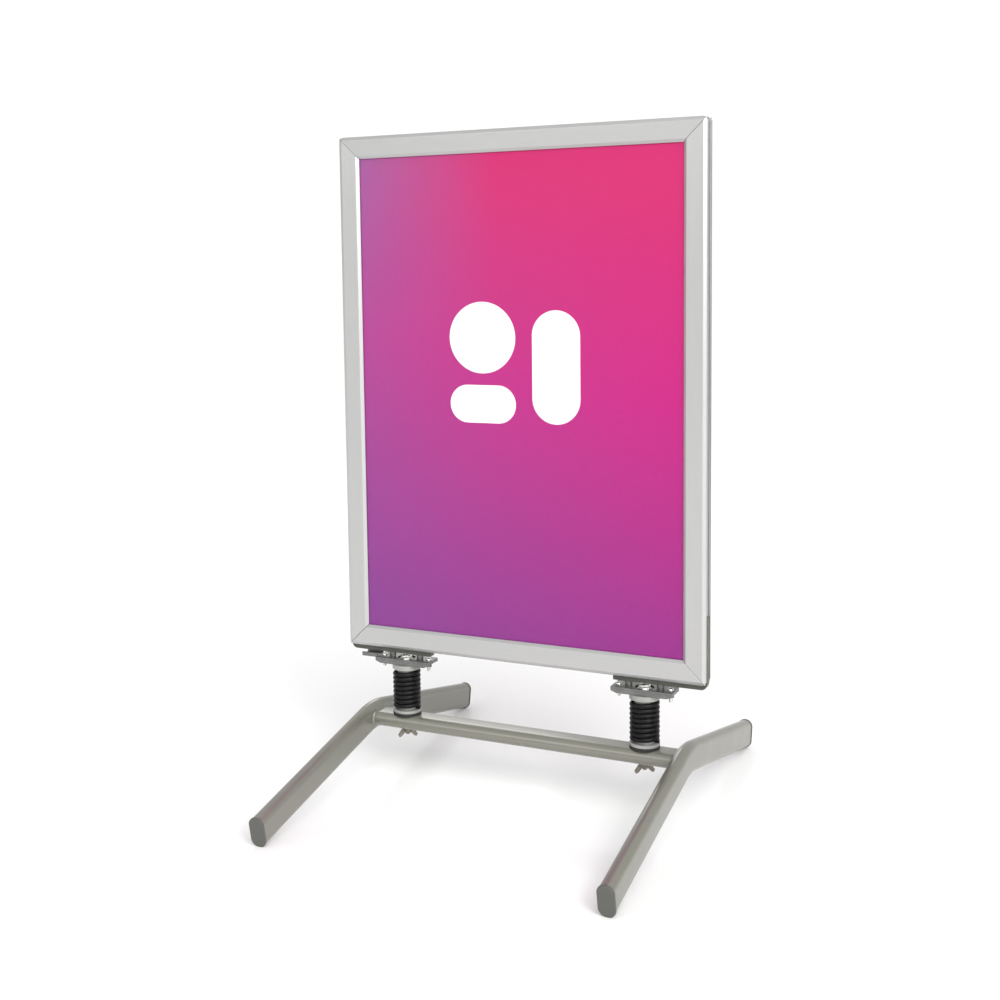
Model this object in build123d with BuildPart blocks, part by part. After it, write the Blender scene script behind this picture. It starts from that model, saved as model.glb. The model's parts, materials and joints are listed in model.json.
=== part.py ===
from build123d import *
import os
from math import cos, radians, sin, tan

# Spring-mounted pavement sign: a double-sided snap frame that stands on two coil
# springs over a base of flat-oval tube. Millimetres, +Z up, X along the sign's width,
# the front face towards -Y. The origin is on the ground, under the middle of the base.

# ---- Sheets and snap frame ---------------------------------------------------------
poster_width = 594.0
poster_height = 841.0
poster_thickness = 0.25
clear_sheet_thickness = 1.0
clear_sheet_margin = 1.0         # clear sheet beyond the poster's edge, each side
panel_thickness = 2.0
panel_margin = 5.0               # backing panel beyond the poster's edge, each side
panel_edge_gap = 1.6             # backing panel to the wall of its groove
profile_width = 38.0             # face width of the snap-frame profile
poster_cover = 10.0              # strip of poster that each profile hides
sign_depth = 34.0                # front cover to rear cover

# ---- Profile details (u runs inwards from the outer edge, v from the mid-plane) ----
wall = 1.4                       # fixed extrusion
flange_inset = 4.0               # edge of the poster flange behind the cover's edge
flange_gap = 0.8                 # poster flange to the swinging hook
rail_outer_u = 3.0               # recess of the fixed extrusion's edge
ledge_reach = 3.0                # groove ledge under the backing panel
hinge_drop = 5.0                 # hinge axis below the cover's face
hinge_radius = 1.2               # bead on the fixed extrusion
hinge_clearance = 0.3
hook_wall = 1.1                  # hook of the cover round the bead
hook_start = 30.0                # degrees
hook_sweep = 180.0
hook_end_gap = 0.6               # hook of one cover to the swing of the next one
neck_gap = 0.4
neck_web = 1.2
neck_height = 1.1
cover_wall = 1.3
cover_bevel_angle = 30.0
cover_face_drop = 1.0            # fall of the cover's face towards the poster
cover_lip_run = 5.0              # sloping part of the cover's inner edge
lip_foot = 1.4                   # upright part at the cover's inner edge
cover_clearance = 0.3            # cover lip to clear sheet
cover_mitre_gap = 0.5            # between neighbouring covers

# ---- Snap springs and corner keys --------------------------------------------------
leaf_width = 14.0
leaf_thickness = 0.6
leaf_rise = 3.6
leaf_foot = 3.0
leaf_start_gap = 2.1             # leaf spring to the hinge's web
leaf_end_gap = 2.0               # leaf spring to the clear sheet
leaves_per_short_side = 3
leaves_per_long_side = 4
key_arm = 55.0
key_clearance = 0.2

# ---- Base --------------------------------------------------------------------------
base_width = 601.0               # over both legs
leg_reach = 385.0                # middle of the base to the tube's cut end
leg_slope = 11.6                 # degrees below level
leg_bend_radius = 160.0
tube_long = 50.0                 # flat-oval tube section
tube_short = 25.0
tube_wall = 2.0
cap_oversize = 1.0               # end cap beyond the tube, each side
cap_thickness = 4.0
cap_insert = 22.0
cap_insert_clearance = 0.2
cap_round = 1.5
foot_flat = 0.8                  # depth of the flat where a cap meets the ground
cross_tube_z = 100.0             # middle of the cross tube
weld_leg = 3.0
weld_toe = 0.3                   # thickness of the bead where it runs out on the tube

# ---- Spring units ------------------------------------------------------------------
spring_spacing = 438.0           # between the two spring axes
spring_diameter = 49.5
spring_wire = 8.0
spring_length = 73.0
spring_turns = 8.0
plug_clearance = 0.5             # plug boss inside the coils
plug_boss_length = 17.0
plug_overhang = 0.5              # plug's diameter beyond the coils'
rubber_ring_height = 4.5
rubber_ring_round = 1.0
lower_plug_flange = 5.0
upper_plug_flange = 8.5
plug_neck_height = 4.5
plug_neck_diameter = 32.0
plug_round = 0.8                 # edges of the plugs' flanges
boss_chamfer = 1.5

# ---- Bolts -------------------------------------------------------------------------
base_bolt_diameter = 8.0
base_bolt_head = 13.0            # across flats
base_bolt_head_height = 5.3
bolt_clearance = 0.3             # radial, in plain holes
thread_clearance = 0.06          # radial, wing nut on its bolt
base_washer_diameter = 24.0
base_washer_thickness = 1.6
wing_nut_play = 0.3              # washer to tube and washer to nut
wing_nut_hub_diameter = 15.0
wing_nut_hub_height = 8.0
wing_span = 36.0
wing_drop = 17.0                 # hub's top to the wing tips
wing_thickness = 3.0
wing_round = 0.9
wing_root_drop = 1.0             # wing's upper edge below the hub's top
wing_outline = ((0.3, 0.12), (0.5, 0.72), (0.42, 1.0), (0.3, 0.86))  # shares of span, drop
hub_taper = 8.0                  # degrees
wing_turn = 40.0                 # degrees, how the wings stand at rest
bolt_tail = 3.0                  # bolt beyond its nut
bolt_point = 0.8                 # chamfer at the end of a bolt
top_bolt_diameter = 10.0
top_bolt_head = 17.0
top_bolt_head_height = 6.4
top_bolt_length = 38.0
top_washer_diameter = 21.0
top_washer_thickness = 2.0
clamp_bolt_diameter = 6.0
clamp_bolt_length = 20.0
clamp_head_diameter = 10.5
clamp_head_height = 3.3
clamp_head_round = 2.3
clamp_socket = 4.0               # across flats
clamp_socket_depth = 2.0
clamp_nut = 10.0
clamp_nut_height = 6.0
frame_screw_diameter = 5.0
frame_screw_head = 9.6
countersink = 45.0               # degrees, side of the head to the screw's axis

# ---- Brackets ----------------------------------------------------------------------
bracket_length = 104.0
bracket_width = 40.0
plate_thickness = 3.0
bracket_flange_gap = 0.3         # channel's flanges to the plug below them
bracket_end_chamfer = 10.0
head_hole_diameter = 32.0        # opening in the top plate over the bolt head
clamp_spacing = 88.0
bush_spacing = 54.0
bush_diameter = 12.0
bush_height = 8.0
tongue_length = 31.0             # adjusting tongue of the left plate
tongue_width = 24.0
tongue_height = 7.0
shoe_drop = 9.0                  # shoe below the frame's edge
shoe_width = 14.0
shoe_edge_inset = 0.5
shoe_corner_radius = 10.0
shoe_rise = 110.0                # above the frame's lower edge
fixing_strip_length = 76.0
fixing_strip_thickness = 5.0
shoe_screw_diameter = 4.0
shoe_screw_head = 8.0
shoe_screw_height = 70.0         # above the frame's lower edge

# ---- Worked out --------------------------------------------------------------------
hidden_edge = profile_width - poster_cover
frame_width = poster_width + 2 * hidden_edge
frame_height = poster_height + 2 * hidden_edge
half_depth = sign_depth / 2
half_spacing = spring_spacing / 2
tube_top = cross_tube_z + tube_short / 2
tube_bottom = cross_tube_z - tube_short / 2
ring_top = tube_top + rubber_ring_height
spring_bottom = ring_top + lower_plug_flange
spring_top = spring_bottom + spring_length
plug_neck_bottom = spring_top + upper_plug_flange
channel_web_bottom = plug_neck_bottom + plug_neck_height
channel_web_top = channel_web_bottom + plate_thickness
bracket_flange = channel_web_top - plug_neck_bottom - bracket_flange_gap
plate_top = channel_web_top + plate_thickness
shoe_bottom = plate_top + bush_height
frame_bottom = shoe_bottom + shoe_drop
frame_top = frame_bottom + frame_height
frame_middle = (frame_bottom + frame_top) / 2
leg_x = (base_width - tube_short) / 2
plug_diameter = spring_diameter + plug_overhang
hook_outer = hinge_radius + hinge_clearance + hook_wall
hinge_u = hook_outer
hinge_v = half_depth - hinge_drop
flange_v = hinge_v - hook_outer - flange_gap
flange_end_u = profile_width - flange_inset
chamber_end_u = hidden_edge - panel_margin - panel_edge_gap - wall
ledge_end_u = hidden_edge - panel_margin + ledge_reach
neck_web_u = hinge_u + hook_outer + neck_gap
panel_top_v = flange_v - wall
panel_bottom_v = panel_top_v - panel_thickness
key_half_depth = panel_top_v - key_clearance
sheet_top_v = flange_v + poster_thickness + clear_sheet_thickness

os.makedirs("parts", exist_ok=True)


def write(builder, name):
    builder.part.label = name
    export_step(builder.part, f"parts/{name}.step")


def level(x, z):
    """A level plane on the axis of the spring unit at x."""
    return Plane((x, 0, z))


# The four sides of the frame: outer-edge midpoint, inward direction and length.
sides = {
    "bottom": (Vector(0, 0, frame_bottom), Vector(0, 0, 1), frame_width),
    "top": (Vector(0, 0, frame_top), Vector(0, 0, -1), frame_width),
    "left": (Vector(-frame_width / 2, 0, frame_middle), Vector(1, 0, 0), frame_height),
    "right": (Vector(frame_width / 2, 0, frame_middle), Vector(-1, 0, 0), frame_height),
}


def side_plane(side, facing=1):
    """Section plane at a side's middle: x inwards, y towards the rear (or the front)."""
    origin, inward, _ = sides[side]
    return Plane(origin, x_dir=inward, z_dir=inward.cross(Vector(0, facing, 0)))


def cut_mitres(side, gap):
    """Cut the open part to 45 degrees at both ends of a side."""
    origin, inward, length = sides[side]
    along = inward.cross(Vector(0, 1, 0))
    for end in (-1, 1):
        corner = origin + along * (end * length / 2)
        outward = (inward + along * end).normalized()
        plane = Plane(corner - outward * (gap / 2), z_dir=outward)
        split(bisect_by=plane, keep=Keep.BOTTOM)


def side_positions(side, count):
    """Evenly spaced places along a side, measured from its middle."""
    length = sides[side][2] - 2 * profile_width
    return [(index + 0.5) * length / count - length / 2 for index in range(count)]


# ---- Legs and their end caps -------------------------------------------------------
slope = radians(leg_slope)
cap_half = tube_long / 2 + cap_oversize
cap_reach = cap_thickness - cap_round
leg_end_z = cap_reach * sin(slope) + (cap_half - cap_round) * cos(slope) + cap_round - foot_flat
leg_peak_z = leg_end_z + leg_reach * tan(slope)

for name, sign in (("left", -1), ("right", 1)):
    x = sign * leg_x
    front_end = Vector(x, -leg_reach, leg_end_z)
    rear_end = Vector(x, leg_reach, leg_end_z)
    rearwards = (Vector(x, 0, leg_peak_z) - front_end).normalized()
    across = Vector(1, 0, 0)
    with BuildPart() as leg:
        with BuildLine() as leg_path:
            FilletPolyline(front_end, (x, 0, leg_peak_z), rear_end, radius=leg_bend_radius)
        with BuildSketch(Plane(front_end, x_dir=across.cross(rearwards), z_dir=rearwards)):
            SlotOverall(tube_long, tube_short)
            SlotOverall(tube_long - 2 * tube_wall, tube_short - 2 * tube_wall, mode=Mode.SUBTRACT)
        sweep(path=leg_path.wires()[0])
    write(leg, f"{name}_leg")

    for end_name, end, facing in (("front", front_end, -1), ("rear", rear_end, 1)):
        outward = Vector(0, facing * cos(slope), -sin(slope))
        end_plane = Plane(end, x_dir=across.cross(outward), z_dir=outward)
        with BuildPart() as cap:
            with BuildSketch(end_plane):
                SlotOverall(tube_long + 2 * cap_oversize, tube_short + 2 * cap_oversize)
            extrude(amount=cap_thickness)
            fillet(cap.faces().sort_by(Axis(end, outward))[-1].edges(), radius=cap_round)
            insert_gap = 2 * (tube_wall + cap_insert_clearance)
            with BuildSketch(end_plane):
                SlotOverall(tube_long - insert_gap, tube_short - insert_gap)
            extrude(amount=-cap_insert)
            split(bisect_by=Plane.XY, keep=Keep.TOP)
        write(cap, f"{name}_{end_name}_cap")

# ---- Cross tube and its welds ------------------------------------------------------
cross_length = 2 * leg_x - tube_short
tube_section = Plane((0, 0, cross_tube_z), x_dir=(0, 1, 0), z_dir=(1, 0, 0))
base_hole = base_bolt_diameter / 2 + bolt_clearance

with BuildPart() as cross_tube:
    with BuildSketch(tube_section):
        SlotOverall(tube_long, tube_short)
        SlotOverall(tube_long - 2 * tube_wall, tube_short - 2 * tube_wall, mode=Mode.SUBTRACT)
    extrude(amount=cross_length / 2, both=True)
    with BuildSketch(Plane.XY.offset(tube_bottom - tube_wall)):
        with GridLocations(spring_spacing, 0, 2, 1):
            Circle(base_hole)
    extrude(amount=tube_short + 2 * tube_wall, mode=Mode.SUBTRACT)
write(cross_tube, "cross_tube")

with BuildPart() as weld_beads:
    for sign in (-1, 1):
        with BuildSketch(tube_section.offset(sign * cross_length / 2)):
            SlotOverall(tube_long + 2 * weld_leg, tube_short + 2 * weld_leg)
        with BuildSketch(tube_section.offset(sign * (cross_length / 2 - weld_leg))):
            SlotOverall(tube_long + 2 * weld_toe, tube_short + 2 * weld_toe)
        loft()
    with BuildSketch(tube_section):
        SlotOverall(tube_long, tube_short)
    extrude(amount=cross_length, both=True, mode=Mode.SUBTRACT)
write(weld_beads, "weld_beads")

# ---- Spring units: one each side ---------------------------------------------------
boss_radius = spring_diameter / 2 - spring_wire - plug_clearance
up = Vector(0, 0, 1)
wing_way = Vector(cos(radians(wing_turn)), sin(radians(wing_turn)), 0)
washer_top = tube_bottom - wing_nut_play
nut_top = washer_top - base_washer_thickness - wing_nut_play
bolt_head_z = spring_bottom + plug_boss_length
clamp_places = [(offset, 0) for offset in (-clamp_spacing / 2, clamp_spacing / 2)]
bush_places = [(offset, 0) for offset in (-bush_spacing / 2, bush_spacing / 2)]
clamp_hole = clamp_bolt_diameter / 2 + bolt_clearance
screw_hole = frame_screw_diameter / 2 + bolt_clearance

for name, sign in (("left", -1), ("right", 1)):
    axis_x = sign * half_spacing

    with BuildPart() as rubber_ring:
        with BuildSketch(level(axis_x, tube_top)):
            Circle(plug_diameter / 2)
            Circle(base_hole, mode=Mode.SUBTRACT)
        extrude(amount=rubber_ring_height)
        top_edges = rubber_ring.faces().sort_by(Axis.Z)[-1].edges()
        fillet(top_edges.sort_by(SortBy.LENGTH)[-1], radius=rubber_ring_round)
    write(rubber_ring, f"rubber_base_ring_{name}")

    with BuildPart() as lower_plug:
        with BuildSketch(level(axis_x, ring_top)):
            Circle(plug_diameter / 2)
        extrude(amount=lower_plug_flange)
        fillet(lower_plug.edges(), radius=plug_round)
        with BuildSketch(level(axis_x, spring_bottom)):
            Circle(boss_radius)
        extrude(amount=plug_boss_length)
        chamfer(lower_plug.faces().sort_by(Axis.Z)[-1].edges(), length=boss_chamfer)
        with BuildSketch(level(axis_x, ring_top)):
            Circle(base_hole)
        extrude(amount=lower_plug_flange + plug_boss_length, mode=Mode.SUBTRACT)
    write(lower_plug, f"lower_spring_plug_{name}")

    spring_rise = spring_length - spring_wire
    coil_radius = (spring_diameter - spring_wire) / 2
    coil_start = Vector(axis_x + coil_radius, 0, spring_bottom + spring_wire / 2)
    with BuildPart() as spring:
        with BuildLine() as coil_path:
            Helix(
                pitch=spring_rise / spring_turns,
                height=spring_rise,
                radius=coil_radius,
                center=(axis_x, 0, coil_start.Z),
            )
        with BuildSketch(Plane(coil_start, x_dir=(1, 0, 0), z_dir=coil_path.line % 0)):
            Circle(spring_wire / 2)
        sweep(path=coil_path.line, is_frenet=True)
    write(spring, f"coil_spring_{name}")

    with BuildPart() as upper_plug:
        with BuildSketch(level(axis_x, spring_top)):
            Circle(plug_diameter / 2)
        extrude(amount=upper_plug_flange)
        fillet(upper_plug.edges(), radius=plug_round)
        with BuildSketch(level(axis_x, plug_neck_bottom)):
            Circle(plug_neck_diameter / 2)
        extrude(amount=plug_neck_height)
        with BuildSketch(level(axis_x, spring_top)):
            Circle(boss_radius)
        extrude(amount=-plug_boss_length)
        chamfer(upper_plug.faces().sort_by(Axis.Z)[0].edges(), length=boss_chamfer)
        with BuildSketch(level(axis_x, channel_web_bottom)):
            Circle(top_bolt_diameter / 2)
        plug_height = plug_neck_height + upper_plug_flange + plug_boss_length
        extrude(amount=-plug_height, mode=Mode.SUBTRACT)
    write(upper_plug, f"upper_spring_plug_{name}")

    base_bolt_end = nut_top - wing_nut_hub_height - bolt_tail
    with BuildPart() as base_bolt:
        with BuildSketch(level(axis_x, base_bolt_end)):
            Circle(base_bolt_diameter / 2)
        extrude(amount=bolt_head_z - base_bolt_end)
        chamfer(base_bolt.faces().sort_by(Axis.Z)[0].edges(), length=bolt_point)
        with BuildSketch(level(axis_x, bolt_head_z)):
            RegularPolygon(base_bolt_head / 2, 6, major_radius=False)
        extrude(amount=base_bolt_head_height)
    write(base_bolt, f"base_bolt_{name}")

    with BuildPart() as base_washer:
        with BuildSketch(level(axis_x, washer_top)):
            Circle(base_washer_diameter / 2)
            Circle(base_hole, mode=Mode.SUBTRACT)
        extrude(amount=-base_washer_thickness)
    write(base_washer, f"base_washer_{name}")

    wing_inner = wing_nut_hub_diameter / 2 - wing_thickness
    with BuildPart() as wing_nut:
        with BuildSketch(Plane((axis_x, 0, nut_top), x_dir=wing_way, z_dir=wing_way.cross(up))):
            for way in (-1, 1):
                with BuildLine():
                    Polyline(
                        (way * wing_inner, -wing_root_drop),
                        *[(way * reach * wing_span, -drop * wing_drop) for reach, drop in wing_outline],
                        (way * wing_inner, -wing_nut_hub_height),
                        close=True,
                    )
                make_face()
        extrude(amount=wing_thickness / 2, both=True)
        fillet(wing_nut.edges().filter_by(Axis((0, 0, 0), wing_way.cross(up))), radius=wing_round)
        with BuildSketch(level(axis_x, nut_top)):
            Circle(wing_nut_hub_diameter / 2)
        extrude(amount=-wing_nut_hub_height, taper=hub_taper)
        with BuildSketch(level(axis_x, nut_top)):
            Circle(base_bolt_diameter / 2 + thread_clearance)
        extrude(amount=-wing_drop, mode=Mode.SUBTRACT)
    write(wing_nut, f"wing_nut_{name}")

    with BuildPart() as channel:
        with BuildSketch(level(axis_x, channel_web_top)):
            Rectangle(bracket_length, bracket_width)
        extrude(amount=-bracket_flange)
        end_edges = channel.edges().filter_by(Axis.Y).group_by(Axis.Z)[0]
        chamfer(end_edges, length=bracket_flange / 2, length2=bracket_end_chamfer)
        with BuildSketch(level(axis_x, channel_web_bottom)):
            Rectangle(bracket_length, bracket_width - 2 * plate_thickness)
        extrude(amount=-bracket_flange, mode=Mode.SUBTRACT)
        with BuildSketch(level(axis_x, channel_web_bottom)):
            Circle(top_bolt_diameter / 2 + bolt_clearance)
            with Locations(*clamp_places):
                Circle(clamp_hole)
        extrude(amount=plate_thickness, mode=Mode.SUBTRACT)
    write(channel, f"spring_bracket_{name}")

    with BuildPart() as head_plate:
        with BuildSketch(level(axis_x, channel_web_top)):
            Rectangle(bracket_length, bracket_width)
            if name == "left":
                with Locations((-(bracket_length + tongue_length) / 2, 0)):
                    Rectangle(tongue_length, tongue_width)
        extrude(amount=plate_thickness)
        if name == "left":
            tongue_x = axis_x - bracket_length / 2 - tongue_length / 2
            with BuildSketch(Plane.XY.offset(channel_web_top)):
                with Locations(
                    (tongue_x, (tongue_width - plate_thickness) / 2),
                    (tongue_x, (plate_thickness - tongue_width) / 2),
                ):
                    Rectangle(tongue_length, plate_thickness)
            extrude(amount=tongue_height)
        with BuildSketch(level(axis_x, channel_web_top)):
            Circle(head_hole_diameter / 2)
            with Locations(*clamp_places):
                Circle(clamp_hole)
        extrude(amount=plate_thickness, mode=Mode.SUBTRACT)
        with BuildSketch(level(axis_x, channel_web_top)):
            with Locations(*bush_places):
                Circle(frame_screw_head / 2 + bolt_clearance)
        extrude(amount=plate_thickness, taper=countersink, mode=Mode.SUBTRACT)
        with BuildSketch(level(axis_x, channel_web_top)):
            with Locations(*bush_places):
                Circle(screw_hole)
        extrude(amount=plate_thickness, mode=Mode.SUBTRACT)
    write(head_plate, f"head_plate_{name}")

    head_washer_top = channel_web_top + top_washer_thickness
    with BuildPart() as top_washer:
        with BuildSketch(level(axis_x, channel_web_top)):
            Circle(top_washer_diameter / 2)
            Circle(top_bolt_diameter / 2 + bolt_clearance, mode=Mode.SUBTRACT)
        extrude(amount=top_washer_thickness)
    write(top_washer, f"top_washer_{name}")

    with BuildPart() as top_bolt:
        with BuildSketch(level(axis_x, head_washer_top)):
            RegularPolygon(top_bolt_head / 2, 6, major_radius=False)
        extrude(amount=top_bolt_head_height)
        with BuildSketch(level(axis_x, head_washer_top)):
            Circle(top_bolt_diameter / 2)
        extrude(amount=-top_bolt_length)
        chamfer(top_bolt.faces().sort_by(Axis.Z)[0].edges(), length=bolt_point)
    write(top_bolt, f"top_bolt_{name}")

# ---- Small fasteners of both brackets ----------------------------------------------
both_clamps = [
    (sign * half_spacing + offset, y) for sign in (-1, 1) for offset, y in clamp_places
]
both_bushes = [
    (sign * half_spacing + offset, y) for sign in (-1, 1) for offset, y in bush_places
]

with BuildPart() as clamp_bolts:
    with BuildSketch(Plane.XY.offset(plate_top - clamp_bolt_length)):
        with Locations(*both_clamps):
            Circle(clamp_bolt_diameter / 2)
    extrude(amount=clamp_bolt_length)
    with BuildSketch(Plane.XY.offset(plate_top)):
        with Locations(*both_clamps):
            Circle(clamp_head_diameter / 2)
    extrude(amount=clamp_head_height)
    head_rims = clamp_bolts.faces().group_by(Axis.Z)[-1].edges()
    fillet(head_rims, radius=clamp_head_round)
    with BuildSketch(Plane.XY.offset(plate_top + clamp_head_height)):
        with Locations(*both_clamps):
            RegularPolygon(clamp_socket / 2, 6, major_radius=False)
    extrude(amount=-clamp_socket_depth, mode=Mode.SUBTRACT)
write(clamp_bolts, "clamp_bolts")

with BuildPart() as clamp_nuts:
    with BuildSketch(Plane.XY.offset(channel_web_bottom)):
        with Locations(*both_clamps):
            RegularPolygon(clamp_nut / 2, 6, major_radius=False)
            Circle(clamp_bolt_diameter / 2, mode=Mode.SUBTRACT)
    extrude(amount=-clamp_nut_height)
write(clamp_nuts, "clamp_nuts")

with BuildPart() as spacer_bushes:
    with BuildSketch(Plane.XY.offset(plate_top)):
        with Locations(*both_bushes):
            Circle(bush_diameter / 2)
            Circle(screw_hole, mode=Mode.SUBTRACT)
    extrude(amount=bush_height)
write(spacer_bushes, "spacer_bushes")

strip_bottom = frame_bottom + rail_outer_u + wall
strip_top = strip_bottom + fixing_strip_thickness
with BuildPart() as fixing_strips:
    with BuildSketch(Plane.XY.offset(strip_bottom)):
        with GridLocations(spring_spacing, 0, 2, 1):
            Rectangle(fixing_strip_length, 2 * key_half_depth)
        with Locations(*both_bushes):
            Circle(frame_screw_diameter / 2, mode=Mode.SUBTRACT)
    extrude(amount=fixing_strip_thickness)
write(fixing_strips, "fixing_strips")

head_cone = (frame_screw_head - frame_screw_diameter) / 2 / tan(radians(countersink))
with BuildPart() as frame_screws:
    with BuildSketch(Plane.XY.offset(channel_web_top)):
        with Locations(*both_bushes):
            Circle(frame_screw_head / 2)
    extrude(amount=head_cone, taper=countersink)
    with BuildSketch(Plane.XY.offset(channel_web_top)):
        with Locations(*both_bushes):
            Circle(frame_screw_diameter / 2)
    extrude(amount=strip_top - channel_web_top)
write(frame_screws, "frame_screws")

# ---- Corner shoes under the frame --------------------------------------------------
shoe_outer_x = frame_width / 2 - shoe_edge_inset
shoe_inner_x = half_spacing - bracket_length / 2
recess_x = frame_width / 2 - rail_outer_u
recess_z = frame_bottom + rail_outer_u
shoe_screw_z = frame_bottom + shoe_screw_height
shoe_screw_hole = shoe_screw_diameter / 2 + bolt_clearance

for name, sign in (("left", -1), ("right", 1)):
    with BuildPart() as shoe:
        with BuildSketch(Plane.XZ):
            with BuildLine():
                Polyline(
                    (sign * shoe_inner_x, shoe_bottom),
                    (sign * shoe_outer_x, shoe_bottom),
                    (sign * shoe_outer_x, frame_bottom + shoe_rise),
                    (sign * recess_x, frame_bottom + shoe_rise),
                    (sign * recess_x, recess_z),
                    (sign * shoe_inner_x, recess_z),
                    close=True,
                )
            make_face()
        extrude(amount=shoe_width / 2, both=True)
        outer_edge = shoe.edges().filter_by(Axis.Y).group_by(Axis.Z)[0]
        fillet(outer_edge.sort_by(Axis.X)[0 if sign < 0 else -1], radius=shoe_corner_radius)
        with BuildSketch(Plane.XY.offset(shoe_bottom)):
            with Locations(*[place for place in both_bushes if place[0] * sign > 0]):
                Circle(screw_hole)
        extrude(amount=recess_z - shoe_bottom, mode=Mode.SUBTRACT)
        with BuildSketch(Plane.YZ.offset(sign * recess_x)):
            with Locations((0, shoe_screw_z)):
                Circle(shoe_screw_hole)
        extrude(amount=sign * rail_outer_u, mode=Mode.SUBTRACT)
    write(shoe, f"corner_shoe_{name}")

with BuildPart() as shoe_screws:
    for sign in (-1, 1):
        with BuildSketch(Plane.YZ.offset(sign * (recess_x - wall))):
            with Locations((0, shoe_screw_z)):
                Circle(shoe_screw_diameter / 2)
        extrude(amount=sign * (shoe_outer_x - recess_x + wall))
        with BuildSketch(Plane.YZ.offset(sign * shoe_outer_x)):
            with Locations((0, shoe_screw_z)):
                Circle(shoe_screw_head / 2)
        extrude(amount=sign * shoe_edge_inset)
write(shoe_screws, "shoe_screws")


# ---- Fixed rails -------------------------------------------------------------------
def block(u_start, u_end, v_start, v_end, mode=Mode.ADD):
    """Rectangle between two places across and two places through the profile."""
    with Locations(((u_start + u_end) / 2, (v_start + v_end) / 2)):
        Rectangle(u_end - u_start, v_end - v_start, mode=mode)


for side in sides:
    side_length = sides[side][2]
    with BuildPart() as rail:
        with BuildSketch(side_plane(side)):
            block(rail_outer_u, flange_end_u, panel_top_v, flange_v)
            block(chamber_end_u, ledge_end_u, panel_bottom_v - wall, panel_bottom_v)
            block(neck_web_u, neck_web_u + neck_web, panel_top_v, hinge_v)
            block(hinge_u, neck_web_u + neck_web, hinge_v - neck_height, hinge_v)
            with Locations((hinge_u, hinge_v)):
                Circle(hinge_radius)
            mirror(about=Plane.XZ)
            block(rail_outer_u, rail_outer_u + wall, -flange_v, flange_v)
            block(chamber_end_u, chamber_end_u + wall, -flange_v, flange_v)
        extrude(amount=side_length / 2, both=True)
        cut_mitres(side, 0)
        if side == "bottom":
            with BuildSketch(Plane.XY.offset(recess_z)):
                with Locations(*both_bushes):
                    Circle(screw_hole)
            extrude(amount=wall, mode=Mode.SUBTRACT)
        if side in ("left", "right"):
            sign = -1 if side == "left" else 1
            with BuildSketch(Plane.YZ.offset(sign * (recess_x - wall))):
                with Locations((0, shoe_screw_z)):
                    Circle(shoe_screw_diameter / 2)
            extrude(amount=sign * wall, mode=Mode.SUBTRACT)
    write(rail, f"frame_rail_{side}")

# ---- Corner keys inside the rails --------------------------------------------------
key_outer_u = rail_outer_u + wall + key_clearance
key_inner_u = chamber_end_u - key_clearance
with BuildPart() as corner_keys:
    for x_sign in (-1, 1):
        for z_sign in (-1, 1):
            with BuildSketch(Plane.XZ):
                with BuildLine():
                    key_x = x_sign * (frame_width / 2 - key_outer_u)
                    key_z = frame_middle + z_sign * (frame_height / 2 - key_outer_u)
                    thick = key_inner_u - key_outer_u
                    Polyline(
                        (key_x, key_z),
                        (key_x - x_sign * key_arm, key_z),
                        (key_x - x_sign * key_arm, key_z - z_sign * thick),
                        (key_x - x_sign * thick, key_z - z_sign * thick),
                        (key_x - x_sign * thick, key_z - z_sign * key_arm),
                        (key_x, key_z - z_sign * key_arm),
                        close=True,
                    )
                make_face()
            extrude(amount=key_half_depth, both=True)
write(corner_keys, "corner_keys")

# ---- Panels, posters and clear sheets, front and rear ------------------------------
for name, facing in (("front", -1), ("rear", 1)):
    sheets = (
        ("backing_panel", panel_bottom_v, panel_thickness, panel_margin),
        ("poster", flange_v, poster_thickness, 0.0),
        ("clear_sheet", flange_v + poster_thickness, clear_sheet_thickness, clear_sheet_margin),
    )
    for sheet_name, inner_v, thickness, margin in sheets:
        with BuildPart() as sheet:
            inner_face = Plane((0, facing * inner_v, frame_middle), x_dir=(1, 0, 0), z_dir=(0, -1, 0))
            with BuildSketch(inner_face):
                Rectangle(poster_width + 2 * margin, poster_height + 2 * margin)
            extrude(amount=-facing * thickness)
        write(sheet, f"{sheet_name}_{name}")

# ---- Snap covers -------------------------------------------------------------------
bevel_start = (
    hinge_u + hook_outer * cos(radians(90 + cover_bevel_angle)),
    hinge_v + hook_outer * sin(radians(90 + cover_bevel_angle)),
)
bevel_run = (half_depth - bevel_start[1]) / tan(radians(cover_bevel_angle))
lip_bottom_v = sheet_top_v + cover_clearance
hook_length_cut = 2 * (hinge_u + hook_outer + hook_end_gap)
for name, facing in (("front", -1), ("rear", 1)):
    for side in sides:
        side_length = sides[side][2]
        section = side_plane(side, facing)
        with BuildPart() as cover:
            with BuildSketch(section):
                with BuildLine():
                    Polyline(
                        bevel_start,
                        (bevel_start[0] + bevel_run, half_depth),
                        (profile_width - cover_lip_run, half_depth - cover_face_drop),
                        (profile_width, lip_bottom_v + lip_foot),
                        (profile_width, lip_bottom_v),
                    )
                    offset(amount=cover_wall, side=Side.RIGHT, kind=Kind.INTERSECTION)
                make_face()
            extrude(amount=side_length / 2, both=True)
            cut_mitres(side, cover_mitre_gap)
            with BuildSketch(section):
                with BuildLine():
                    outer_arc = CenterArc((hinge_u, hinge_v), hook_outer, hook_start, hook_sweep)
                    inner_arc = CenterArc(
                        (hinge_u, hinge_v), hook_outer - hook_wall, hook_start, hook_sweep
                    )
                    Line(outer_arc @ 0, inner_arc @ 0)
                    Line(outer_arc @ 1, inner_arc @ 1)
                make_face()
            extrude(amount=(side_length - hook_length_cut) / 2, both=True)
        write(cover, f"{name}_cover_{side}")

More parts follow.
